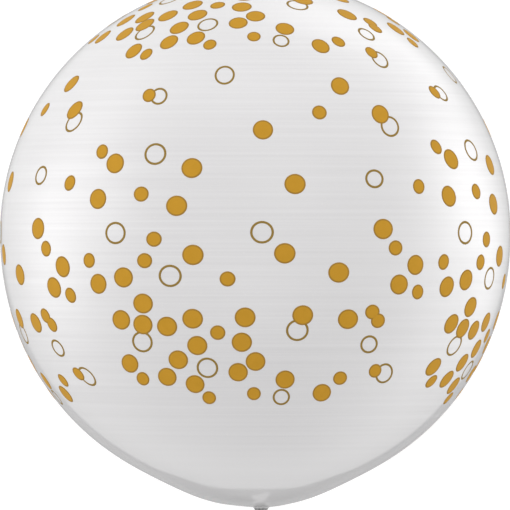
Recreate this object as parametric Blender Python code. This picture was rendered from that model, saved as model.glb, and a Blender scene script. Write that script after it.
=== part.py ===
"""Large round latex balloon, inflated and tied, lying on its side.

Metres, +Z up. The balloon's long axis runs along Y, with the crown towards +Y
and the tied neck towards -Y. The origin is the centre of the small flat spot
that the balloon rests on.

The envelope, the gathered neck, its knot and the flared tail are one dipped
piece of latex, so they are one solid.
"""

import math

import bmesh
import bpy
from mathutils import Matrix, Vector

# ---------------------------------------------------------------- sizes ----
BALLOON_DIAMETER = 0.900      # widest, across the long axis
FLAT_SPOT_DIAMETER = 0.090    # where it rests

# How far the film is drawn out towards the neck, as shares of the radius.
DRAW_BROAD = 0.030            # the gentle pear shape of the lower half
DRAW_BROAD_REACH = 85.0       # degrees from the neck at which it starts
DRAW_BROAD_POWER = 1.5
DRAW_NARROW = 0.036           # the quicker pull just above the neck
DRAW_NARROW_WIDTH = 17.0      # degrees
DRAW_NARROW_POWER = 2.9

NECK_DIAMETER = 0.021         # the gathered neck where it leaves the film
THROAT_FILLET = 0.007         # the hollow curve between the film and the neck
NECK_LENGTH = 0.014           # from the throat to the knot
NECK_OFFSET = 0.010           # the neck sits this far to one side of the axis
NECK_OFFSET_REACH = 0.060     # how far out the film follows it
WAIST_DIAMETER = 0.0135       # the neck inside the knot
KNOT_LENGTH = 0.017           # along the axis
KNOT_ROLL_DIAMETER = 0.0115   # the rolled strand that makes the knot
KNOT_ROLL_RADIUS = 0.0085     # from the axis to the middle of that strand
KNOT_TILTS = (19.0, -24.0)    # degrees, of the strand's two passes
KNOT_STEP = 0.0065            # between the two passes, along the axis
TAIL_LENGTH = 0.052           # from the knot to the mouth
MOUTH_WIDTH = 0.044           # the flattened mouth, across
MOUTH_THICKNESS = 0.018
LIP_DIAMETER = 0.0044         # the rolled bead round the mouth
MOUTH_DEPTH = 0.009           # how far the mouth is open

PLEATS = 12                   # gathers round the neck
PLEAT_SHARE = 0.085           # their depth, as a share of the neck's radius
PLEAT_TWIST = 40.0            # degrees that they turn along the neck
PLEAT_REACH = 0.030           # how far they run out over the film

SEGMENTS = 60                 # round the long axis
FILM_STEP = 5.4               # degrees between rings on the envelope
NECK_RINGS = 5
TAIL_RINGS = 8

# -------------------------------------------------------------- derived ----
RADIUS = BALLOON_DIAMETER / 2
NECK_RADIUS = NECK_DIAMETER / 2
AXIS_HEIGHT = math.sqrt(RADIUS ** 2 - (FLAT_SPOT_DIAMETER / 2) ** 2)


def smooth(t):
    """0 to 1 with level ends."""
    t = min(max(t, 0.0), 1.0)
    return t * t * (3 - 2 * t)


def film_radius(theta):
    """Distance from the balloon's centre to the film, at an angle (degrees)
    from the neck end of the long axis."""
    broad = max(0.0, 1 - (theta / DRAW_BROAD_REACH) ** 2) ** DRAW_BROAD_POWER
    narrow = math.exp(-((theta / DRAW_NARROW_WIDTH) ** DRAW_NARROW_POWER))
    return RADIUS * (1 + DRAW_BROAD * broad + DRAW_NARROW * narrow)


def film_point(theta):
    """(along the axis, out from the axis) of the film at that angle."""
    rho, a = film_radius(theta), math.radians(theta)
    return -rho * math.cos(a), rho * math.sin(a)


def throat_angle():
    """The angle at which the film reaches the throat's fillet."""
    low, high = 0.1, 20.0
    for _ in range(50):
        middle = (low + high) / 2
        if film_point(middle)[1] > NECK_RADIUS + THROAT_FILLET:
            high = middle
        else:
            low = middle
    return (low + high) / 2


class Station:
    """One ring: where it is along the axis, its radius, how deep its pleats
    are (a share of the radius), how far they have turned (degrees), how much
    wider and thinner than round it is, and how far its middle is to one side
    of the axis."""

    def __init__(self, along, out, pleat=0.0, turn=0.0, wide=1.0, thin=1.0,
                 aside=NECK_OFFSET):
        self.along, self.out, self.aside = along, out, aside
        self.pleat, self.turn = pleat, turn
        self.wide, self.thin = wide, thin

    def point(self, phi):
        wave = math.cos(PLEATS * (phi - math.radians(self.turn)))
        r = self.out * (1 + self.pleat * wave)
        return Vector((self.aside + r * math.cos(phi) * self.wide, self.along,
                       r * math.sin(phi) * self.thin))


def stations():
    """All rings between the crown and the bottom of the mouth."""
    rings = []

    # The envelope, from beside the crown down to the throat, closer together
    # where the film is drawn out.
    end = throat_angle()
    theta = 180.0 - FILM_STEP
    while theta > end + 0.4:
        along, out = film_point(theta)
        beyond = out - NECK_RADIUS if theta < 90 else 1.0
        near = math.exp(-(beyond / PLEAT_REACH) ** 2)
        aside = NECK_OFFSET * (1 - smooth(beyond / NECK_OFFSET_REACH))
        rings.append(Station(along, out, PLEAT_SHARE * 0.35 * near,
                             aside=aside))
        theta -= FILM_STEP * (0.35 + 0.65 * smooth((theta - 4) / 26))

    # The throat: a hollow quarter turn into the neck.
    top, _ = film_point(end)
    for i in range(5):
        a = math.radians(90 * i / 4)
        rings.append(Station(top - THROAT_FILLET * (1 - math.cos(a)),
                             NECK_RADIUS + THROAT_FILLET * (1 - math.sin(a)),
                             PLEAT_SHARE * (0.4 + 0.6 * i / 4)))

    # The gathered neck, twisted as it was tied, thinner inside the knot.
    start = top - THROAT_FILLET
    for i in range(1, NECK_RINGS + 1):
        t = i / NECK_RINGS
        out = NECK_RADIUS + (WAIST_DIAMETER / 2 - NECK_RADIUS) * smooth(t)
        rings.append(Station(start - NECK_LENGTH * t, out, PLEAT_SHARE,
                             PLEAT_TWIST * t))

    # Through the knot, and out as a flattened, flaring tail.
    start -= NECK_LENGTH + KNOT_LENGTH
    for i in range(TAIL_RINGS + 1):
        t = i / TAIL_RINGS
        flare = smooth(t) ** 0.8
        out = WAIST_DIAMETER / 2 * (1 - flare) + flare * MOUTH_WIDTH / 2 * 0.8
        wide = 1 + flare * 0.25
        thin = 1 + flare * (MOUTH_THICKNESS / MOUTH_WIDTH * 1.25 - 1)
        rings.append(Station(start - TAIL_LENGTH * t, out,
                             PLEAT_SHARE * (1 - 0.7 * t), PLEAT_TWIST,
                             wide, thin))

    # The rolled lip, and the dished mouth inside it.
    last, bead = rings[-1], LIP_DIAMETER / 2
    for a in (50, 90, 130, 180):
        rings.append(Station(last.along - bead * (1 - math.cos(math.radians(a))),
                             last.out + bead * math.sin(math.radians(a)),
                             0.01, PLEAT_TWIST, last.wide, last.thin))
    for t in (0.0, 0.55, 1.0):
        rings.append(Station(last.along - 2 * bead + (2 * bead + MOUTH_DEPTH) * t,
                             (last.out - 2 * bead) * (1 - 0.45 * t),
                             0.01, PLEAT_TWIST, last.wide, last.thin))
    return rings


def new_object(name, bm):
    mesh = bpy.data.meshes.new(name)
    bmesh.ops.recalc_face_normals(bm, faces=bm.faces)
    bm.to_mesh(mesh)
    bm.free()
    ob = bpy.data.objects.new(name, mesh)
    bpy.context.scene.collection.objects.link(ob)
    return ob


def turned_body():
    """The envelope, neck and tail, turned about the long axis."""
    bm = bmesh.new()
    rings = stations()
    loops = []
    for ring in rings:
        loops.append([bm.verts.new(ring.point(math.tau * k / SEGMENTS))
                      for k in range(SEGMENTS)])
    crown = bm.verts.new((0, RADIUS, 0))
    floor = bm.verts.new((rings[-1].aside, rings[-1].along, 0))
    for k in range(SEGMENTS):
        j = (k + 1) % SEGMENTS
        bm.faces.new((crown, loops[0][k], loops[0][j]))
        for upper, lower in zip(loops, loops[1:]):
            bm.faces.new((upper[k], lower[k], lower[j], upper[j]))
        bm.faces.new((loops[-1][k], floor, loops[-1][j]))
    return new_object("balloon", bm)


def knot_roll(name, along, tilt, spin):
    """One pass of the knot's strand: a leaning ring round the neck."""
    bm = bmesh.new()
    around, across = 26, 10
    place = (Matrix.Translation((NECK_OFFSET, along, 0))
             @ Matrix.Rotation(math.radians(spin), 4, "Y")
             @ Matrix.Rotation(math.radians(tilt), 4, "X"))
    loops = []
    for i in range(around):
        a = math.tau * i / around
        out = Vector((math.cos(a), 0, math.sin(a)))
        loop = []
        for k in range(across):
            b = math.tau * (k + 0.5) / across
            p = (out * (KNOT_ROLL_RADIUS + KNOT_ROLL_DIAMETER / 2 * math.cos(b))
                 + Vector((0, KNOT_ROLL_DIAMETER / 2 * math.sin(b), 0)))
            loop.append(bm.verts.new(place @ p))
        loops.append(loop)
    for i in range(around):
        for k in range(across):
            j, m = (i + 1) % around, (k + 1) % across
            bm.faces.new((loops[i][k], loops[i][m], loops[j][m], loops[j][k]))
    return new_object(name, bm)


def apply_modifiers(ob):
    evaluated = ob.evaluated_get(bpy.context.evaluated_depsgraph_get())
    mesh = bpy.data.meshes.new_from_object(evaluated)
    ob.modifiers.clear()
    ob.data = mesh


def join(ob, other):
    """Boolean union, keeping the first object."""
    union = ob.modifiers.new("join", "BOOLEAN")
    union.operation, union.object, union.solver = "UNION", other, "EXACT"
    bpy.context.view_layer.update()
    apply_modifiers(ob)
    bpy.data.objects.remove(other)


def cut_flat(ob):
    """Cuts off what is below the floor plane and closes the cut."""
    bm = bmesh.new()
    bm.from_mesh(ob.data)
    bmesh.ops.bisect_plane(bm, geom=bm.verts[:] + bm.edges[:] + bm.faces[:],
                           dist=1e-6, plane_co=(0, 0, 0), plane_no=(0, 0, 1),
                           clear_inner=True)
    rim = [e for e in bm.edges if e.is_boundary]
    bmesh.ops.contextual_create(bm, geom=rim)
    bmesh.ops.triangulate(bm, faces=[f for f in bm.faces if len(f.verts) > 4])
    bmesh.ops.recalc_face_normals(bm, faces=bm.faces)
    bm.to_mesh(ob.data)
    bm.free()


def latex():
    """Opaque pearl-white latex with a satin skin."""
    material = bpy.data.materials.new("pearl_latex")
    material.use_nodes = True
    shader = material.node_tree.nodes["Principled BSDF"]
    shader.inputs["Base Color"].default_value = (0.72, 0.71, 0.71, 1)
    shader.inputs["Roughness"].default_value = 0.34
    shader.inputs["Metallic"].default_value = 0.0
    return material


def main():
    for ob in list(bpy.data.objects):
        bpy.data.objects.remove(ob)

    balloon = turned_body()
    knot_middle = (film_point(throat_angle())[0] - THROAT_FILLET - NECK_LENGTH
                   - KNOT_LENGTH / 2)
    for i, tilt in enumerate(KNOT_TILTS):
        along = knot_middle + KNOT_STEP * (0.5 - i)
        join(balloon, knot_roll("roll", along, tilt, 70.0 * i))

    balloon.data.transform(Matrix.Translation((0, 0, AXIS_HEIGHT)))
    cut_flat(balloon)

    balloon.data.materials.clear()
    balloon.data.materials.append(latex())
    balloon.data.shade_smooth()
    balloon.data.set_sharp_from_angle(angle=math.radians(40))


main()
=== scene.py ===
"""Looks of the confetti balloon: the latex envelope with its gathered neck, knot
and tail, and the gold print on it, in a plain white studio.

Metres, +Z up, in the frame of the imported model. The balloon lies on its side:
its long axis runs along Y, the crown towards +Y and the neck towards -Y.
"""

import math

import bmesh
import bpy
import numpy as np
from mathutils import Matrix, Vector


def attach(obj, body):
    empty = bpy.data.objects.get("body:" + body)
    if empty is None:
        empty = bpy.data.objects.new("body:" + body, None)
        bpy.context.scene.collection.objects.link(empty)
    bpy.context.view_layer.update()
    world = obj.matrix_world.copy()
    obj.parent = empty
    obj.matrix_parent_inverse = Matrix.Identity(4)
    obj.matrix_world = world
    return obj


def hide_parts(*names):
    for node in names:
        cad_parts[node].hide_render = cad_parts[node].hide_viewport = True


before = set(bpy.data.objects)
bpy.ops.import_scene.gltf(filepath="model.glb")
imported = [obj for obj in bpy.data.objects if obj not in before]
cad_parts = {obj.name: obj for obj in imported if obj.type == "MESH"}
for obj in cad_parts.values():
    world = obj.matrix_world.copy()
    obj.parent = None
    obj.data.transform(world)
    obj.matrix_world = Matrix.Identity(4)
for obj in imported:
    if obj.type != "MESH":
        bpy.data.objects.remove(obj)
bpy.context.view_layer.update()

# ------------------------------------------------ the part's named sizes ----
# The same sizes as the CAD.
RADIUS = 0.450
FLAT_SPOT_RADIUS = 0.045
AXIS_HEIGHT = math.sqrt(RADIUS ** 2 - FLAT_SPOT_RADIUS ** 2)
DRAW_BROAD, DRAW_BROAD_REACH, DRAW_BROAD_POWER = 0.030, 85.0, 1.5
DRAW_NARROW, DRAW_NARROW_WIDTH, DRAW_NARROW_POWER = 0.036, 17.0, 2.9
NECK_RADIUS = 0.0105
THROAT_FILLET = 0.007
NECK_LENGTH = 0.014
NECK_OFFSET = 0.010
NECK_OFFSET_REACH = 0.060
WAIST_RADIUS = 0.00675
KNOT_LENGTH = 0.017
KNOT_ROLL_RADIUS = 0.0085
KNOT_TILTS = (19.0, -24.0)
KNOT_STEP = 0.0065
TAIL_LENGTH = 0.052
MOUTH_WIDTH = 0.044
MOUTH_THICKNESS = 0.018
LIP_RADIUS = 0.0022

# Finer than the CAD.
SEGMENTS = 288                # round the long axis
FILM_STEP = 1.25              # degrees between rings on the envelope
SKIN_LIFT = 0.00025           # the skin's flat spot stands this far off the floor
FLOOR_BLEND = 0.0011          # how softly the flat spot runs into the round
PLEATS = 12
WALL = 0.0011                 # the tail's wall, unstretched latex


# ------------------------------------------------------------ small maths ----
def smooth(t):
    t = np.clip(t, 0.0, 1.0)
    return t * t * (3 - 2 * t)


def film_radius(theta):
    """Distance from the balloon's centre to the film, at an angle (degrees)
    from the neck end of the long axis."""
    theta = np.asarray(theta, float)
    broad = np.clip(1 - (theta / DRAW_BROAD_REACH) ** 2, 0, None)
    narrow = np.exp(-((theta / DRAW_NARROW_WIDTH) ** DRAW_NARROW_POWER))
    return RADIUS * (1 + DRAW_BROAD * broad ** DRAW_BROAD_POWER
                     + DRAW_NARROW * narrow)


def film_point(theta):
    rho, a = film_radius(theta), np.radians(theta)
    return -rho * np.cos(a), rho * np.sin(a)


def throat_angle():
    low, high = 0.1, 20.0
    for _ in range(50):
        middle = (low + high) / 2
        if film_point(middle)[1] > NECK_RADIUS + THROAT_FILLET:
            high = middle
        else:
            low = middle
    return (low + high) / 2


THROAT = throat_angle()
THROAT_TOP = float(film_point(THROAT)[0])
NECK_TOP = THROAT_TOP - THROAT_FILLET
KNOT_MIDDLE = NECK_TOP - NECK_LENGTH - KNOT_LENGTH / 2
TAIL_TOP = NECK_TOP - NECK_LENGTH - KNOT_LENGTH


def rest_on_floor(points, lift):
    """Presses the underside flat: nothing is lower than lift, and the flat
    runs softly into the round."""
    z = points[..., 2] - lift
    k = FLOOR_BLEND
    pressed = np.where(z < -k, 0.0, np.where(z > k, z, (z + k) ** 2 / (4 * k)))
    out = points.copy()
    out[..., 2] = pressed + lift
    return out


def mesh_object(name, verts, faces):
    mesh = bpy.data.meshes.new(name)
    mesh.from_pydata([tuple(v) for v in verts], [], faces)
    mesh.validate()
    mesh.update()
    ob = bpy.data.objects.new(name, mesh)
    bpy.context.scene.collection.objects.link(ob)
    return ob


def outward(ob):
    """Turns a closed mesh's faces outwards."""
    bm = bmesh.new()
    bm.from_mesh(ob.data)
    bmesh.ops.recalc_face_normals(bm, faces=bm.faces)
    bm.to_mesh(ob.data)
    bm.free()
    return ob


def loft(name, rings, first, last):
    """A closed solid from rings of points, with a point at each end."""
    rings = np.asarray(rings, float)
    count, around = rings.shape[:2]
    verts = np.vstack([rings.reshape(-1, 3), [first], [last]])
    a, b = count * around, count * around + 1
    faces = []
    for k in range(around):
        j = (k + 1) % around
        faces.append((a, j, k))
        faces.append((b, (count - 1) * around + k, (count - 1) * around + j))
        for i in range(count - 1):
            faces.append((i * around + k, i * around + j,
                          (i + 1) * around + j, (i + 1) * around + k))
    return outward(mesh_object(name, verts, faces))


def union(ob, other):
    """Fuses other into ob."""
    modifier = ob.modifiers.new("fuse", "BOOLEAN")
    modifier.operation, modifier.object = "UNION", other
    modifier.solver = "EXACT"
    bpy.context.view_layer.update()
    evaluated = ob.evaluated_get(bpy.context.evaluated_depsgraph_get())
    mesh = bpy.data.meshes.new_from_object(evaluated)
    ob.modifiers.clear()
    old, ob.data = ob.data, mesh
    bpy.data.meshes.remove(old)
    bpy.data.objects.remove(other)


# ------------------------------------------------- envelope and neck --------
def pleat_wave(phi):
    """Uneven gathers round the neck: twelve folds, no two quite alike."""
    drift = 0.55 * np.sin(2 * phi + 1.0) + 0.35 * np.sin(3 * phi + 2.2)
    main = np.cos(PLEATS * phi + drift) * (0.78 + 0.22 * np.cos(5 * phi + 0.5))
    fine = 0.30 * np.cos(31 * phi + 1.6 * np.sin(3 * phi + 0.4))
    return main + fine


def envelope():
    """The film from the crown to the throat, then the gathered neck, which
    ends inside the knot."""
    profile = []              # (along, out, fold depth, twist in degrees)
    theta = 180.0 - FILM_STEP
    while theta > THROAT + 0.12:
        along, out = film_point(theta)
        beyond = out - NECK_RADIUS if theta < 90 else 1.0
        near = math.exp(-(beyond / 0.022) ** 2)
        far = math.exp(-(beyond / 0.060) ** 2)
        profile.append((along, out, 0.00060 * near + 0.00010 * far, 0.0))
        theta -= FILM_STEP * (0.26 + 0.74 * smooth((theta - 4) / 26))
    for i in range(13):
        a = math.radians(90 * i / 12)
        profile.append((THROAT_TOP - THROAT_FILLET * (1 - math.cos(a)),
                        NECK_RADIUS + THROAT_FILLET * (1 - math.sin(a)),
                        0.00060 + 0.00030 * i / 12, 2.0 * i / 12))
    for i in range(1, 19):
        t = i / 18
        out = NECK_RADIUS + (WAIST_RADIUS - NECK_RADIUS) * smooth(t)
        profile.append((NECK_TOP - NECK_LENGTH * t, out,
                        0.00090 * out / NECK_RADIUS, 2.0 + 38.0 * t))
    for i in range(1, 7):
        a = math.radians(13 * i)
        profile.append((NECK_TOP - NECK_LENGTH - WAIST_RADIUS * 0.6 * math.sin(a),
                        WAIST_RADIUS * math.cos(a), 0.0009 * math.cos(a) ** 4,
                        40.0))
    profile = np.array(profile)
    along, out = profile[:, 0], profile[:, 1]

    # Outward normal of the profile.
    da, do = np.gradient(along), np.gradient(out)
    length = np.hypot(da, do)
    n_along, n_out = do / length, -da / length

    phi = math.tau * np.arange(SEGMENTS) / SEGMENTS - math.pi
    turn = np.radians(profile[:, 3])[:, None]
    fold = profile[:, 2][:, None] * pleat_wave(phi[None, :] - turn)
    y = along[:, None] + n_along[:, None] * fold
    r = out[:, None] + n_out[:, None] * fold
    aside = NECK_OFFSET * (1 - smooth((out - NECK_RADIUS) / NECK_OFFSET_REACH))
    aside = np.where(along < 0, aside, 0.0)
    points = np.stack([aside[:, None] + r * np.cos(phi),
                       y + 0 * phi,
                       AXIS_HEIGHT + r * np.sin(phi)], axis=-1)
    points = rest_on_floor(points, SKIN_LIFT)
    crown = (0, RADIUS, AXIS_HEIGHT)
    end = (NECK_OFFSET, profile[-1, 0] - 0.0004, AXIS_HEIGHT)
    return loft("balloon_skin", points, crown, end)


# --------------------------------------------------------- knot and tail ----
def strand(name, centres, radii, wrinkle, twist, around=40):
    """A rolled strand of latex along a line of centres, wrinkled lengthways,
    with rounded ends."""
    centres, radii = np.asarray(centres, float), np.asarray(radii, float)
    tangent = np.gradient(centres, axis=0)
    tangent /= np.linalg.norm(tangent, axis=1)[:, None]
    side = np.cross(tangent[0], (0.31, 0.87, 0.38))
    rings = []
    psi = math.tau * np.arange(around) / around
    for i, (c, t, r) in enumerate(zip(centres, tangent, radii)):
        side = side - t * np.dot(side, t)
        side /= np.linalg.norm(side)
        up = np.cross(t, side)
        s = i / (len(centres) - 1)
        a = psi + twist * s
        rr = r * (1 + wrinkle * (np.cos(6 * a + 0.8) + 0.5 * np.cos(11 * a + 2.1)
                                 + 0.35 * np.cos(17 * a + 5 * s)))
        rings.append(c + rr[:, None] * (np.cos(psi)[:, None] * side
                                        + np.sin(psi)[:, None] * up))
    first = centres[0] - tangent[0] * radii[0] * 0.3
    last = centres[-1] + tangent[-1] * radii[-1] * 0.3
    return loft(name, rings, first, last)


def knot_turn(index):
    """One turn of the knot: a leaning, lumpy loop of rolled neck."""
    place = (Matrix.Translation((NECK_OFFSET,
                                 KNOT_MIDDLE + KNOT_STEP * (0.5 - index),
                                 AXIS_HEIGHT))
             @ Matrix.Rotation(math.radians(70.0 * index), 4, "Y")
             @ Matrix.Rotation(math.radians(KNOT_TILTS[index]), 4, "X"))
    around, across = 96, 44
    rings = []
    psi = math.tau * np.arange(across) / across
    for i in range(around):
        a = math.tau * i / around
        thick = 0.0053 * (1 + 0.09 * math.sin(2 * a + 1.1 + index)
                          + 0.05 * math.sin(3 * a + 2.0 * index))
        reach = KNOT_ROLL_RADIUS + 0.0006 * math.sin(2 * a + 2.4 * index)
        rise = 0.0010 * math.sin(3 * a + 0.6 + 1.7 * index)
        twist = 4 * a                # whole turns, so that the loop closes
        r = thick * (1 + 0.034 * np.cos(6 * psi + twist)
                     + 0.020 * np.cos(11 * psi + twist + 2.0))
        out = np.array((math.cos(a), 0, math.sin(a)))
        local = (out * (reach + (r * np.cos(psi))[:, None])
                 + np.array((0, 1.0, 0)) * (rise + r * np.sin(psi))[:, None])
        rings.append([tuple(place @ Vector(p)) for p in local])
    verts = np.array(rings).reshape(-1, 3)
    faces = []
    for i in range(around):
        j = (i + 1) % around
        for k in range(across):
            m = (k + 1) % across
            faces.append((i * across + k, i * across + m,
                          j * across + m, j * across + k))
    return outward(mesh_object("turn", verts, faces))


def knot_bridge():
    """The strand that crosses over both turns and pulls them together."""
    t = np.linspace(0, 1, 46)
    angle = np.radians(205 + 118 * t)
    over = np.sin(math.pi * t)
    reach = 0.0065 + 0.0062 * over ** 0.7
    along = KNOT_MIDDLE + 0.0078 * np.cos(math.pi * t) + 0.0008
    centres = np.stack([NECK_OFFSET + reach * np.cos(angle), along,
                        AXIS_HEIGHT + reach * np.sin(angle)], -1)
    ends = np.sqrt(np.clip(np.minimum(t, 1 - t) / 0.06, 0.02, 1))
    return strand("bridge", centres, 0.0044 * ends * (0.85 + 0.15 * over),
                  0.045, 1.8, 34)


def tail():
    """The flattened, flaring end with its rolled lip and open mouth."""
    around = 132
    phi = math.tau * np.arange(around) / around
    bead = LIP_RADIUS
    shape = [(t, 0.0, 0.0, 1.0) for t in np.linspace(-0.14, 1.0, 46)]
    for a in np.radians(np.linspace(24, 336, 19)):
        shape.append((1.0, bead * math.sin(a) - WALL / 2,
                      bead * (0.94 - math.cos(a)), 1.0))
    for t in np.linspace(0.975, 0.40, 24):       # the mouth closes inside
        shape.append((t, -WALL, 0.0, float(np.clip((t - 0.34) / 0.16, 0.3, 1))))

    wave = (np.cos(PLEATS * phi + 0.5 * np.sin(2 * phi))
            + 0.45 * np.cos(19 * phi + 1.3 * np.sin(phi)))
    ruffle = 0.6 * np.sin(3 * phi + 1.2) + 0.4 * np.sin(5 * phi + 0.3)
    rings = []
    for t, offset, beyond, open_share in shape:
        s = max(t, 0.0)
        flare = float(smooth(s)) ** 0.8
        out = WAIST_RADIUS * 0.92 * (1 - flare) + flare * MOUTH_WIDTH / 2 * 0.8
        pleat = (0.060 - 0.040 * s) * (WAIST_RADIUS + out) * 0.5
        r = out + 0.0010 * flare * ruffle + pleat * wave * (1 - 0.5 * flare)
        x = r * np.cos(phi) * (1 + flare * 0.25)
        z = r * np.sin(phi) * (1 + flare * (MOUTH_THICKNESS / MOUTH_WIDTH * 1.25 - 1))
        tx, tz = np.roll(x, -1) - np.roll(x, 1), np.roll(z, -1) - np.roll(z, 1)
        size = np.hypot(tx, tz)
        x, z = x + tz / size * offset, z - tx / size * offset
        x, z = x * open_share, z * open_share
        turn = math.radians(24 * s)
        bend = s * s
        rings.append(np.stack([
            NECK_OFFSET + 0.0022 * bend + x * math.cos(turn) - z * math.sin(turn),
            TAIL_TOP - TAIL_LENGTH * t - beyond
            - 0.0022 * bend * np.sin(2 * phi + 0.7)
            - 0.0009 * bend * np.sin(5 * phi + 0.3),
            AXIS_HEIGHT - 0.0045 * bend + x * math.sin(turn) + z * math.cos(turn),
        ], -1))
    rings = np.array(rings)
    first = rings[0].mean(0) + np.array((0, 0.001, 0))
    last = rings[-1].mean(0) + np.array((0, 0.001, 0))
    return loft("tail", rings, first, last)


def skin_piece():
    skin = envelope()
    for other in (knot_turn(0), knot_turn(1), knot_bridge(), tail()):
        union(skin, other)
    skin.name = skin.data.name = "balloon_skin"
    skin_map(skin)
    skin.data.shade_smooth()
    skin.data.set_sharp_from_angle(angle=math.radians(62))
    return skin


def skin_map(ob):
    """A map of the skin for the bake: round the axis across, and from the tail
    to the crown upwards."""
    mesh = ob.data
    co = np.zeros(len(mesh.vertices) * 3)
    mesh.vertices.foreach_get("co", co)
    co = co.reshape(-1, 3)
    loop_vert = np.zeros(len(mesh.loops), int)
    mesh.loops.foreach_get("vertex_index", loop_vert)
    loop_face = np.zeros(len(mesh.loops), int)
    totals = np.zeros(len(mesh.polygons), int)
    mesh.polygons.foreach_get("loop_total", totals)
    loop_face = np.repeat(np.arange(len(totals)), totals)
    aside = NECK_OFFSET * (1 - smooth((-THROAT_TOP + co[:, 1]) / 0.004))
    x, z = co[:, 0] - aside, co[:, 2] - AXIS_HEIGHT
    azimuth, out = np.arctan2(z, x), np.hypot(x, z)
    theta = np.degrees(np.arctan2(out, -co[:, 1]))
    body = co[:, 1] > THROAT_TOP - 0.001
    up = np.where(body, 0.12 + 0.87 * np.clip(theta - THROAT, 0, None) / (180 - THROAT),
                  0.11 - 0.10 * np.clip((THROAT_TOP - co[:, 1]) / 0.105, 0, 1))
    az = azimuth[loop_vert]
    counts = np.bincount(loop_face)
    mid = np.arctan2(np.bincount(loop_face, z[loop_vert]) / counts,
                     np.bincount(loop_face, x[loop_vert]) / counts)[loop_face]
    az = np.where(out[loop_vert] < 1e-5, mid, az)
    az = mid + (az - mid + math.pi) % math.tau - math.pi
    uv = np.stack([0.012 + 0.976 * (az + math.pi) / math.tau, up[loop_vert]], -1)
    layer = mesh.uv_layers.new(name="OFBake")
    layer.data.foreach_set("uv", np.clip(uv, 0.001, 0.999).astype(np.float32).ravel())


# ----------------------------------------------------------------- print ----
# One motif is printed four times round the body and once over the crown. Each
# mark is (kind, across, up) in millimetres of film from the motif's middle:
# B a big disc, S a small disc, O a big ring, o a small ring.
BIG, SMALL, BIG_RING, SMALL_RING = 0.0361, 0.0270, 0.0397, 0.0339
RING_LINE = 0.0042
RIM_LINE = 0.0030
INK = {"disc": 0.00020, "rim": 0.00013, "ring": 0.00010, "root": -0.00016}

MOTIF = [
    ("S", -200, 262), ("O", -57, 295), ("B", 158, 278), ("o", -180, 258),
    ("S", 115, 220), ("B", 234, 226), ("B", 13, 184), ("O", 252, 203),
    ("S", -288, 156), ("O", -179, 144), ("B", -258, 131), ("B", -111, 116),
    ("B", -291, 66), ("S", -203, 72), ("B", 68, 87), ("o", 213, 100),
    ("S", 305, 90), ("B", -137, 50), ("O", -253, 3), ("S", -178, -8),
    ("O", 11, 4), ("B", 228, 10), ("S", -310, -48), ("S", -196, -46),
    ("B", -108, -35), ("B", 50, -32), ("S", 253, -24), ("B", 296, -56),
    ("B", -291, -91), ("B", -238, -77), ("O", -149, -72), ("S", -48, -76),
    ("B", 145, -66), ("B", 262, -91), ("B", -201, -123), ("S", 210, -139),
    ("S", 303, -107), ("B", -246, -156), ("B", -203, -162),
    ("B", -157, -163), ("B", -110, -147), ("S", -66, -171), ("B", -18, -143),
    ("O", 73, -167), ("B", 82, -140), ("B", 164, -150), ("S", 222, -156),
    ("O", -206, -195), ("B", -103, -196), ("B", -24, -188), ("o", 207, -200),
    ("B", -235, -241), ("B", -139, -225), ("O", -86, -238), ("B", -31, -245),
    ("B", 0, -224), ("B", 53, -260), ("S", 224, -255), ("S", -211, -270),
    ("B", -162, -261), ("B", -110, -272), ("S", -85, -299), ("S", -3, -288),
    ("o", 47, -296), ("B", 122, -291), ("S", 155, -263), ("O", 244, -263),
]

# Where the front copy's middle comes, in millimetres, and its film's stretch.
MOTIF_MIDDLE, MOTIF_STRETCH = (0.4, -1.3), 1.0015
PRESS = 1 / 30                # how much the motif's middle is drawn out

# The film's stretch places the other copies a little differently. Angles are in
# degrees: `across` round the body from the motif's middle, `up` towards the
# crown.
SIDE_TURN, BACK_TURN = 85.54, 180.0


def side_angles(across, up, side):
    """Where a mark of the motif comes on the copy to that side (1 or -1)."""
    turn = SIDE_TURN - 0.012 * up - 0.825 * (up / 30) ** 2
    return 0.9565 * across + side * turn, body_rise(up)


def back_angles(across, up):
    return 1.03 * across + BACK_TURN, body_rise(up)


def body_rise(up):
    return 0.986 * up + 0.914 * math.sin(math.radians(4 * up)) + 0.09


def crown_angles(across, up):
    """The same for the copy over the crown, as angles across it and up it."""
    across = math.degrees(math.asin(math.sin(math.radians(across))
                                    * math.cos(math.radians(up))))
    return ((0.963 + 0.039 * up / 30) * across
            + 0.832 * math.sin(math.radians(4 * across)),
            0.8965 * up + 1.305 * (across / 30) ** 2 - 6.10)


def film_at(direction):
    """Point of the film in these directions from the balloon's centre."""
    theta = np.degrees(np.arccos(np.clip(-direction[..., 1], -1, 1)))
    return direction * film_radius(theta)[..., None]


def film_normal(direction):
    theta = np.degrees(np.arccos(np.clip(-direction[..., 1], -1, 1)))
    rho = film_radius(theta)
    slope = (film_radius(theta + 0.05) - film_radius(theta - 0.05)) / np.radians(0.1)
    away = direction * (-direction[..., 1:2]) - np.array((0, -1.0, 0))
    size = np.linalg.norm(away, axis=-1, keepdims=True)
    away = np.where(size > 1e-9, away / np.maximum(size, 1e-9), 0.0)
    normal = direction - away * (slope / rho)[..., None]
    return normal / np.linalg.norm(normal, axis=-1, keepdims=True)


def on_film(direction, height):
    """The film's surface plus a height, with the flat spot pressed in."""
    p = film_at(direction) + film_normal(direction) * height
    p = p + np.array((0, 0, AXIS_HEIGHT))
    return rest_on_floor(p, SKIN_LIFT - max(height, -0.00015))


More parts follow.
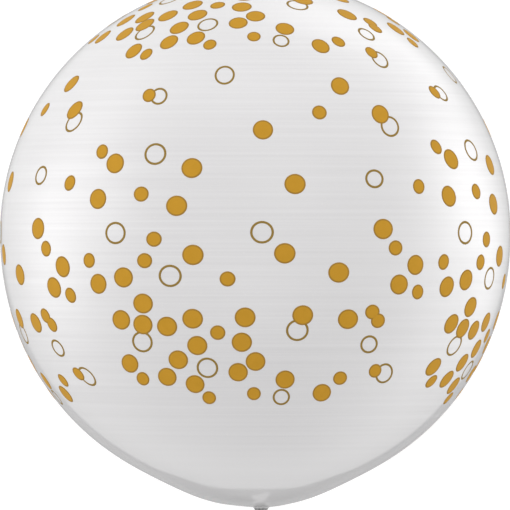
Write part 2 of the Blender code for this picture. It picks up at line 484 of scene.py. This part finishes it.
def direction_at(across, up):
    """Direction of the film's point at that angle round the body, and as high as
    that angle up a ball."""
    theta = np.linspace(1.5, 179.9, 4000)
    height = -film_radius(theta) * np.cos(np.radians(theta))
    theta = math.radians(np.interp(RADIUS * math.sin(math.radians(up)), height, theta))
    across = math.radians(across)
    return np.array((math.sin(theta) * math.sin(across), -math.cos(theta),
                     math.sin(theta) * math.cos(across)))


def crown_direction(across, up):
    x, z = math.sin(math.radians(across)), -math.sin(math.radians(up))
    return np.array((x, math.sqrt(1 - x * x - z * z), z))


def motif_places():
    """(kind, direction on the front, angle across, angle up) of the motif's marks."""
    for kind, x, y in MOTIF:
        x, y = x * MOTIF_STRETCH + MOTIF_MIDDLE[0], y * MOTIF_STRETCH + MOTIF_MIDDLE[1]
        angle = math.hypot(x, y) / 1000 / RADIUS
        share = math.sin(angle) / angle if angle else 1.0
        direction = np.array((x / 1000 / RADIUS * share, y / 1000 / RADIUS * share,
                              math.cos(angle)))
        point = film_at(direction) / RADIUS
        x, y = point[:2] * (1 + PRESS * point[2])
        yield (kind, direction, math.degrees(math.asin(x / math.sqrt(1 - y * y))),
               math.degrees(math.asin(y)))


class Mark:
    """One printed mark: its kind, the direction of its middle, and how far the
    film's stretch draws it out across and up, from the angles in its own copy."""

    def __init__(self, kind, direction, across, up, copy):
        self.kind, self.direction = kind, direction
        crown = copy == "crown"
        lie = np.array((direction[0], -direction[2], direction[1])) if crown else direction
        east = np.array((lie[2], 0.0, -lie[0])) / math.hypot(lie[0], lie[2])
        if crown:
            east = np.array((east[0], east[2], -east[1]))
        north = np.cross(direction, east)
        a, b = math.radians(across), math.radians(up)
        wide = (0.029 + 0.639 * math.log(math.cos(b)) - 0.247 * min(abs(a) / 0.768, 1.05) ** 4
                + 0.065 * (1 - math.cos(4 * a)))
        tall = -0.023 + 0.048 * (up / 34) ** 2 + 0.012 * up / 34
        if copy != "front":
            tall += 0.059 * math.cos(4 * b)
        if copy == "side":
            wide += 0.05 * float(smooth((abs(across) - 9) / 6))
        self.across = math.exp(wide) * east
        self.up = math.exp(tall) * (north + 0.51 * a * math.sin(b) * east)

    def circle(self, radius, phi):
        """Directions of the mark's circle of that radius, as the film draws it."""
        out = radius * (np.cos(phi)[:, None] * self.across
                        + np.sin(phi)[:, None] * self.up)
        length = np.linalg.norm(out, axis=1, keepdims=True)
        return (np.cos(length / RADIUS) * self.direction
                + np.sin(length / RADIUS) * out / length)


def placed_marks():
    """Every mark on the balloon."""
    marks = []
    for kind, direction, across, up in motif_places():
        marks.append(Mark(kind, direction, across, up, "front"))
        for angles in (side_angles(across, up, 1), side_angles(across, up, -1),
                       back_angles(across, up)):
            marks.append(Mark(kind, direction_at(*angles), across, up, "side"))
        marks.append(Mark(kind, crown_direction(*crown_angles(across, up)), across, up,
                          "crown"))
    return marks


class Sheet:
    """Collects the marks' films into one mesh, with a place for each in the
    bake's map."""

    def __init__(self, count):
        self.verts, self.faces, self.slots, self.uvs = [], [], [], []
        self.columns = math.ceil(math.sqrt(count))
        self.done = 0

    def cell(self):
        at = self.done
        self.done += 1
        size = 1 / self.columns
        return ((at % self.columns + 0.5) * size, (at // self.columns + 0.5) * size,
                size)

    def ring(self, points):
        start = len(self.verts)
        self.verts.extend(points)
        return start

    def band(self, a, b, around, slot, uv_a, uv_b):
        """Quads between two rings, a inside b seen from outside."""
        for k in range(around):
            j = (k + 1) % around
            self.faces.append((a + k, b + k, b + j, a + j))
            self.slots.append(slot)
            self.uvs.extend((uv_a[k], uv_b[k], uv_b[j], uv_a[j]))

    def fan(self, middle, ring, around, slot, uv_middle, uv_ring, outward):
        for k in range(around):
            j = (k + 1) % around
            face = (middle, ring + k, ring + j)
            uv = (uv_middle, uv_ring[k], uv_ring[j])
            if not outward:
                face, uv = face[::-1], uv[::-1]
            self.faces.append(face)
            self.slots.append(slot)
            self.uvs.extend(uv)


def circle_uv(cx, cy, r, phi):
    return [(cx + r * math.cos(p), cy + r * math.sin(p)) for p in phi]


def add_disc(sheet, mark, diameter, around=36):
    phi = math.tau * np.arange(around) / around
    radius = diameter / 2
    cx, cy, size = sheet.cell()
    steps = [(0.50 * radius, INK["disc"]), (radius - RIM_LINE, INK["disc"]),
             (radius - 0.00012, INK["rim"]), (radius, INK["root"])]
    rings, maps = [], []
    for r, height in steps:
        rings.append(sheet.ring(on_film(mark.circle(r, phi), height)))
        maps.append(circle_uv(cx, cy, 0.43 * size * r / radius, phi))
    middle = sheet.ring(on_film(mark.direction[None, :], INK["disc"]))
    sheet.fan(middle, rings[0], around, 0, (cx, cy), maps[0], True)
    sheet.band(rings[0], rings[1], around, 0, maps[0], maps[1])
    sheet.band(rings[1], rings[2], around, 1, maps[1], maps[2])
    sheet.band(rings[2], rings[3], around, 1, maps[2],
               circle_uv(cx, cy, 0.46 * size, phi))
    under = sheet.ring(on_film(mark.direction[None, :], INK["root"] * 2))
    corner = (cx + 0.43 * size, cy + 0.43 * size)
    sheet.fan(under, rings[3], around, 0, corner,
              circle_uv(*corner, 0.04 * size, phi), False)


def add_ring(sheet, mark, diameter, around=44):
    phi = math.tau * np.arange(around) / around
    outer, inner = diameter / 2, diameter / 2 - RING_LINE
    cx, cy, size = sheet.cell()
    steps = [(inner, INK["root"]), (inner + 0.00012, INK["ring"]),
             (outer - 0.00012, INK["ring"]), (outer, INK["root"])]
    rings = [sheet.ring(on_film(mark.circle(r, phi), h)) for r, h in steps]
    share = 0.43 * size / outer
    maps = [circle_uv(cx, cy, r * share, phi) for r, _ in steps]
    maps[0] = circle_uv(cx, cy, (inner - 0.0006) * share, phi)
    maps[3] = circle_uv(cx, cy, (outer + 0.0006) * share, phi)
    for a, b in ((0, 1), (1, 2), (2, 3)):
        sheet.band(rings[a], rings[b], around, 2, maps[a], maps[b])
    sheet.band(rings[3], rings[0], around, 2, circle_uv(cx, cy, 0.24 * size, phi),
               circle_uv(cx, cy, 0.14 * size, phi))


def print_piece():
    marks = placed_marks()
    sheet = Sheet(len(marks))
    for mark in marks:
        if mark.kind in "BS":
            add_disc(sheet, mark, BIG if mark.kind == "B" else SMALL)
        else:
            add_ring(sheet, mark, BIG_RING if mark.kind == "O" else SMALL_RING)
    ob = mesh_object("confetti_print", sheet.verts, sheet.faces)
    mesh = ob.data
    mesh.polygons.foreach_set("material_index", sheet.slots)
    layer = mesh.uv_layers.new(name="OFBake")
    layer.data.foreach_set("uv", np.array(sheet.uvs, np.float32).ravel())
    mesh.shade_smooth()
    return ob


# ------------------------------------------------------------- materials ----
class Nodes:
    """Short ways to add nodes to one material."""

    def __init__(self, name):
        self.material = bpy.data.materials.new(name)
        self.material.use_nodes = True
        self.tree = self.material.node_tree
        self.shader = self.tree.nodes["Principled BSDF"]

    def set(self, **values):
        for key, value in values.items():
            self.shader.inputs[key.replace("_", " ")].default_value = value

    def node(self, kind, **properties):
        n = self.tree.nodes.new("ShaderNode" + kind)
        for key, value in properties.items():
            setattr(n, key, value)
        return n

    def link(self, a, b):
        self.tree.links.new(a, b)

    def maths(self, operation, a, b=None, c=None, clamp=False):
        n = self.node("Math", operation=operation, use_clamp=clamp)
        for i, value in enumerate((a, b, c)):
            if value is None:
                continue
            if isinstance(value, (int, float)):
                n.inputs[i].default_value = value
            else:
                self.link(value, n.inputs[i])
        return n.outputs[0]

    def places(self, stretch=(1, 1, 1), shift=(0, 0, 0)):
        """The point in metres in the balloon's frame, stretched."""
        where = self.node("TexCoord")
        mapping = self.node("Mapping")
        mapping.inputs["Scale"].default_value = stretch
        mapping.inputs["Location"].default_value = shift
        self.link(where.outputs["Object"], mapping.inputs["Vector"])
        return mapping.outputs["Vector"]

    def noise(self, vector, scale, detail=2.0, rough=0.5):
        n = self.node("TexNoise")
        n.inputs["Scale"].default_value = scale
        n.inputs["Detail"].default_value = detail
        n.inputs["Roughness"].default_value = rough
        self.link(vector, n.inputs["Vector"])
        return n.outputs["Fac"]

    def spread(self, value, low, high, to_low, to_high, soft=False):
        n = self.node("MapRange")
        if soft:
            n.interpolation_type = "SMOOTHSTEP"
        for key, v in (("From Min", low), ("From Max", high),
                       ("To Min", to_low), ("To Max", to_high)):
            n.inputs[key].default_value = v
        self.link(value, n.inputs["Value"])
        return n.outputs["Result"]

    def blend(self, share, a, b):
        """Mixes two colours, each a socket or (r, g, b)."""
        n = self.node("Mix", data_type="RGBA")
        if isinstance(share, (int, float)):
            n.inputs[0].default_value = share
        else:
            self.link(share, n.inputs[0])
        for i, value in ((6, a), (7, b)):
            if isinstance(value, tuple):
                n.inputs[i].default_value = (*value, 1)
            else:
                self.link(value, n.inputs[i])
        return n.outputs[2]


def latex_material():
    """Opaque pearl-white latex: a satin body under a clear skin, thinner and
    lighter where it is stretched, denser and greyer at the gathered neck,
    partly painted shade there, and painted shade in the gathers' creases."""
    m = Nodes("pearl_latex")
    where = m.places()

    # Broad clouds of pearl and the faint rings that dipping leaves.
    clouds = m.noise(where, 3.2, 3.0, 0.5)
    rings = m.noise(m.places((1.2, 170.0, 1.2)), 1.0, 3.0, 0.55)
    film = m.blend(m.spread(clouds, 0.35, 0.65, 0, 1),
                   (0.598, 0.588, 0.595), (0.626, 0.618, 0.621))
    axis = m.node("SeparateXYZ")
    m.link(where, axis.inputs[0])
    inward = m.spread(m.maths("ABSOLUTE", axis.outputs[1]), 0.30, 0.425, 1, 0.25, True)
    streaks = m.spread(rings, 0.32, 0.68, -0.5, 0.5)
    film = m.blend(m.maths("MULTIPLY_ADD", streaks, inward, 0.5),
                   film, (0.656, 0.648, 0.653))
    flecks = m.noise(where, 420.0, 1.0, 0.5)
    film = m.blend(m.spread(flecks, 0.60, 0.78, 0, 0.35), film, (0.704, 0.695, 0.695))

    # Unstretched latex at the neck, knot and tail, and a greyer funnel just above the throat:
    # partly the latex's own denser grey, partly painted shade of the neck end.
    dx = m.maths("SUBTRACT", axis.outputs[0], NECK_OFFSET)
    dz = m.maths("SUBTRACT", axis.outputs[2], AXIS_HEIGHT)
    out = m.maths("SQRT", m.maths("ADD", m.maths("MULTIPLY", dx, dx),
                                  m.maths("MULTIPLY", dz, dz)))
    towards = m.spread(axis.outputs[1], -0.478, -0.462, 1, 0, True)
    close = m.spread(out, 0.014, 0.050, 1, 0, True)
    beyond = m.spread(axis.outputs[1], THROAT_TOP - 0.010, THROAT_TOP - 0.002, 1, 0,
                      True)
    # Partly painted shade: the funnel above the throat is greyed towards the neck.
    near = m.maths("MULTIPLY", m.maths("MULTIPLY", towards, close), 0.35)
    thick = m.maths("MAXIMUM", near, beyond)
    crown = m.spread(axis.outputs[1], RADIUS - 0.0010, RADIUS - 0.0001, 0, 0.30, True)
    folds = m.noise(m.places((1, 0.25, 1)), 260.0, 2.0, 0.55)
    dense_grey_and_shade = m.blend(m.spread(folds, 0.35, 0.65, 0, 1),
                    (0.400, 0.395, 0.400), (0.500, 0.492, 0.495))
    # The dense grey mixed in here is partly painted shade at the neck end.
    colour = m.blend(m.maths("MAXIMUM", thick, crown), film, dense_grey_and_shade)

    # Painted shade: the gathers between throat and knot are coloured dark grey to stand for
    # the shade in their creases.
    below = m.spread(axis.outputs[1], THROAT_TOP - 0.0042, THROAT_TOP - 0.0008, 1, 0,
                     True)
    above = m.spread(axis.outputs[1], NECK_TOP - NECK_LENGTH - 0.005,
                     NECK_TOP - NECK_LENGTH + 0.004, 0, 1, True)
    painted_crease_shade = m.blend(m.spread(folds, 0.35, 0.65, 0, 1),
                      (0.165, 0.163, 0.162), (0.290, 0.287, 0.285))
    colour = m.blend(m.maths("MULTIPLY", below, above), colour, painted_crease_shade)
    m.link(colour, m.shader.inputs["Base Color"])

    # Satin, a little uneven.
    patches = m.noise(where, 9.0, 4.0, 0.6)
    rough = m.spread(patches, 0.3, 0.7, 0.30, 0.38)
    rough = m.maths("ADD", rough, m.maths("MULTIPLY", thick, 0.10))
    m.link(rough, m.shader.inputs["Roughness"])

    # A very fine skin texture, stronger where the latex is unstretched.
    peel = m.noise(where, 230.0, 3.0, 0.55)
    bump = m.node("Bump")
    bump.inputs["Strength"].default_value = 0.12
    bump.inputs["Distance"].default_value = 0.00006
    m.link(peel, bump.inputs["Height"])
    m.link(bump.outputs[0], m.shader.inputs["Normal"])

    m.set(Metallic=0.0, IOR=1.45, Specular_IOR_Level=0.30, Coat_Weight=1.0,
          Coat_Roughness=0.06, Coat_IOR=1.5)
    return m.material


def ink_material(name, deep, light, rough_low, rough_high):
    """Satin gold printing ink, a little uneven as it stretches."""
    m = Nodes(name)
    where = m.places()
    clouds = m.noise(where, 60.0, 3.0, 0.55)
    grain = m.noise(where, 900.0, 1.0, 0.5)
    colour = m.blend(m.spread(clouds, 0.32, 0.68, 0, 1), deep, light)
    colour = m.blend(m.spread(grain, 0.35, 0.75, 0, 0.25), colour,
                     tuple(c * 1.12 for c in light))
    m.link(colour, m.shader.inputs["Base Color"])
    m.link(m.spread(clouds, 0.3, 0.7, rough_low, rough_high),
           m.shader.inputs["Roughness"])
    m.set(Metallic=0.0, IOR=1.45, Specular_IOR_Level=0.05)
    return m.material


def floor_material():
    m = Nodes("studio_white")
    m.set(Base_Color=(0.90, 0.90, 0.90, 1), Roughness=0.8, Specular_IOR_Level=0.2,
          Emission_Color=(1, 1, 1, 1), Emission_Strength=0.228)
    return m.material


# ---------------------------------------------------------------- studio ----
def studio_floor():
    """A wide white table, lit a little from within."""
    bm = bmesh.new()
    bmesh.ops.create_grid(bm, x_segments=8, y_segments=8, size=12.0)
    mesh = bpy.data.meshes.new("studio_floor")
    bm.to_mesh(mesh)
    bm.free()
    floor = bpy.data.objects.new("studio_floor", mesh)
    bpy.context.scene.collection.objects.link(floor)
    floor.data.materials.append(floor_material())
    floor.visible_glossy = False      # the table doesn't show in the shine
    return floor


# The studio's air: large, soft lights far away all round. Each is a direction,
# how narrow it is, and a strength; below the table they show in the latex's
# shine only.
AIR = 0.66
AIR_BELOW = 0.42              # straight below, where the table shades the air
LIGHTS = [
    (0.03, -0.39, 0.92, 12, 0.84),
    (0.28, 0.36, 0.89, 12, 0.60),
    (-0.50, -0.09, 0.86, 12, 0.31),
    (-0.04, 0.92, 0.39, 12, 0.76),
    (0.48, 0.84, 0.23, 12, 0.54),
    (-0.97, 0.25, 0.05, 12, 1.32),
    (0.99, -0.08, -0.08, 12, 0.97),
    (-0.68, 0.73, -0.11, 12, 0.79),
    (-0.97, -0.09, -0.20, 12, 1.95),
    (0.77, -0.59, -0.23, 12, 0.70),
    (0.91, 0.25, -0.33, 12, 2.53),
    (0.34, 0.84, -0.42, 12, 1.51),
    (-0.50, 0.41, -0.77, 12, 0.29),
    (0.31, -0.76, -0.57, 30, 0.16),
    (-0.31, -0.76, -0.57, 30, 0.16),
    (0.73, -0.13, -0.67, 30, 0.66),
    (0.49, 0.51, -0.71, 60, 0.45),
    (-0.92, 0.12, 0.37, 30, 0.70),
    (0.00, -0.86, -0.51, 40, 0.15),
]
# What the shine shows of the shade under the balloon, towards the neck's side:
# two ellipses, each with its middle, reach and edge as tangents of the angle
# from straight down. The shade is lighter straight below.
SHADES = [((0.0, -0.28), (0.44, 0.34), (0.88, 1.12)),
          ((0.0, -0.565), (0.255, 0.585), (0.98, 1.02))]
SHADE_FADE = (0.25, 0.90, 0.47, 0.0)
BELOW = (0.12, 0.42)          # how far straight below reaches


def studio_air():
    world = bpy.data.worlds.new("studio_air")
    bpy.context.scene.world = world
    world.use_nodes = True
    tree = world.node_tree
    back = tree.nodes["Background"]
    back.inputs["Color"].default_value = (1, 1, 1, 1)
    where = tree.nodes.new("ShaderNodeTexCoord").outputs["Generated"]

    def maths(operation, *values):
        n = tree.nodes.new("ShaderNodeMath")
        n.operation = operation
        for socket, value in zip(n.inputs, values):
            if isinstance(value, (int, float)):
                socket.default_value = value
            else:
                tree.links.new(value, socket)
        return n.outputs[0]

    def step(value, low, high, to_low, to_high):
        n = tree.nodes.new("ShaderNodeMapRange")
        n.interpolation_type = "SMOOTHSTEP"
        for key, v in (("From Min", low), ("From Max", high),
                       ("To Min", to_low), ("To Max", to_high)):
            n.inputs[key].default_value = v
        tree.links.new(value, n.inputs["Value"])
        return n.outputs["Result"]

    axis = tree.nodes.new("ShaderNodeSeparateXYZ")
    tree.links.new(where, axis.inputs[0])
    down = maths("MAXIMUM", maths("MULTIPLY", axis.outputs[2], -1.0), 0.05)
    x, y = maths("DIVIDE", axis.outputs[0], down), maths("DIVIDE", axis.outputs[1], down)

    def distance(middle, reach):
        a = maths("DIVIDE", maths("SUBTRACT", x, middle[0]), reach[0])
        b = maths("DIVIDE", maths("SUBTRACT", y, middle[1]), reach[1])
        return maths("SQRT", maths("ADD", maths("MULTIPLY", a, a),
                                   maths("MULTIPLY", b, b)))

    middle = distance((0.0, 0.0), (1.0, 1.0))
    total = step(middle, *BELOW, AIR_BELOW, AIR)
    for *towards, narrow, strength in LIGHTS:
        dot = tree.nodes.new("ShaderNodeVectorMath")
        dot.operation = "DOT_PRODUCT"
        tree.links.new(where, dot.inputs[0])
        dot.inputs[1].default_value = Vector(towards).normalized()
        glow = maths("EXPONENT", maths("MULTIPLY_ADD", dot.outputs["Value"],
                                       narrow, -narrow))
        total = maths("MULTIPLY_ADD", glow, strength, total)

    inside = maths("MAXIMUM", *(step(distance(at, reach), *edge, 1.0, 0.0)
                                for at, reach, edge in SHADES))
    shade = step(middle, *SHADE_FADE)
    tree.links.new(maths("ADD", maths("MULTIPLY", total, maths("SUBTRACT", 1.0, inside)),
                         maths("MULTIPLY", shade, inside)),
                   back.inputs["Strength"])


def camera():
    """Straight above the lying balloon, as the photograph shows it face on,
    with a very long lens."""
    distance = 30 * RADIUS
    spread = 255.4            # the body's radius, in a picture 510 across
    focal = spread * math.sqrt(30 ** 2 - 1)
    data = bpy.data.cameras.new("camera")
    data.sensor_width = 36.0
    data.lens = 36.0 * focal / 510
    data.clip_start, data.clip_end = 0.5, 60.0
    ob = bpy.data.objects.new("camera", data)
    ob.location = (-0.00055, -0.0361, AXIS_HEIGHT + distance)
    ob.rotation_euler = (0, 0, 0)
    bpy.context.scene.collection.objects.link(ob)
    bpy.context.scene.camera = ob


# ------------------------------------------------------------------ main ----
def main():
    skin = skin_piece()
    skin.data.materials.clear()
    skin.data.materials.append(latex_material())

    marks = print_piece()
    for material in (
            ink_material("gold_ink", (0.466, 0.244, 0.0235), (0.492, 0.258, 0.0265),
                         0.45, 0.58),
            ink_material("gold_ink_edge", (0.325, 0.180, 0.028),
                         (0.345, 0.191, 0.031), 0.45, 0.58),
            ink_material("gold_ink_line", (0.250, 0.162, 0.042),
                         (0.270, 0.175, 0.046), 0.45, 0.58)):
        marks.data.materials.append(material)

    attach(skin, "root")
    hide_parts("balloon")
    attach(marks, "root")

    studio_floor()
    studio_air()
    camera()
    view = bpy.context.scene.view_settings
    view.view_transform, view.look = "Standard", "None"
    view.exposure, view.gamma = 0.0, 1.0

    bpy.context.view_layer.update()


main()
